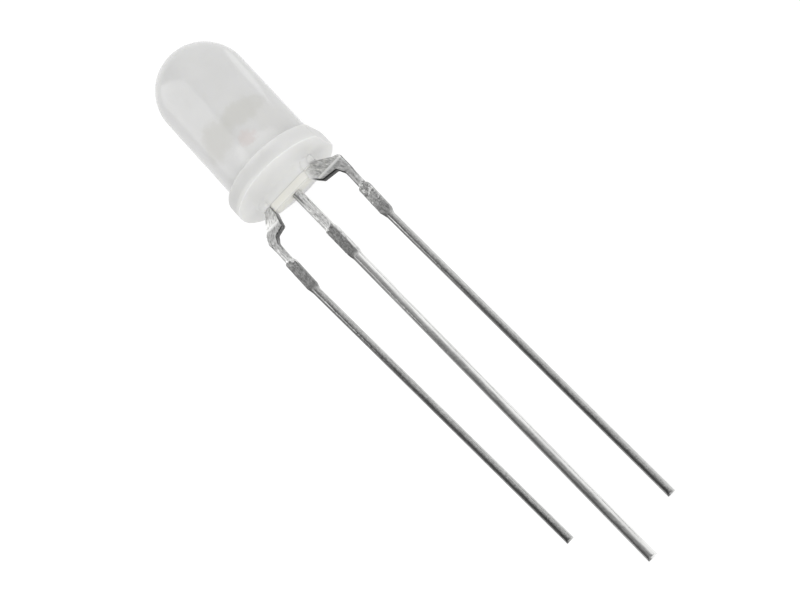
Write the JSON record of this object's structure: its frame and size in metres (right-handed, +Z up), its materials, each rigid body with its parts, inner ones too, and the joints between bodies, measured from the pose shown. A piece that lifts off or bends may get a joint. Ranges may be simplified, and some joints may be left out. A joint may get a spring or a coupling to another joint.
{
  "type": "through hole led",
  "caption": "Round-topped indicator lamp with a milky moulded lens, a flange at its base and long straight leads with stand-offs, lying on its side.",
  "frame": {"origin": "middle of the lamp's plan on the surface that it lies on, under the leads", "axes": "+X along the lamp towards the lead tips, +Y towards the right lead, +Z up from the surface"},
  "size_m": [0.0346, 0.0064, 0.0061],
  "materials": {
    "milky_resin": "gloss",
    "tinned_steel": "satin",
    "red_die": "gloss",
    "green_die": "gloss",
    "gold_wire": "polished"
  },
  "bodies": {
    "root": {"lens_body": "milky_resin", "lead_left": "tinned_steel", "lead_middle": "tinned_steel", "lead_right": "tinned_steel", "die_red": "red_die", "die_green": "green_die", "bond_wire_left": "gold_wire", "bond_wire_right": "gold_wire"}
  },
  "joints": []
}
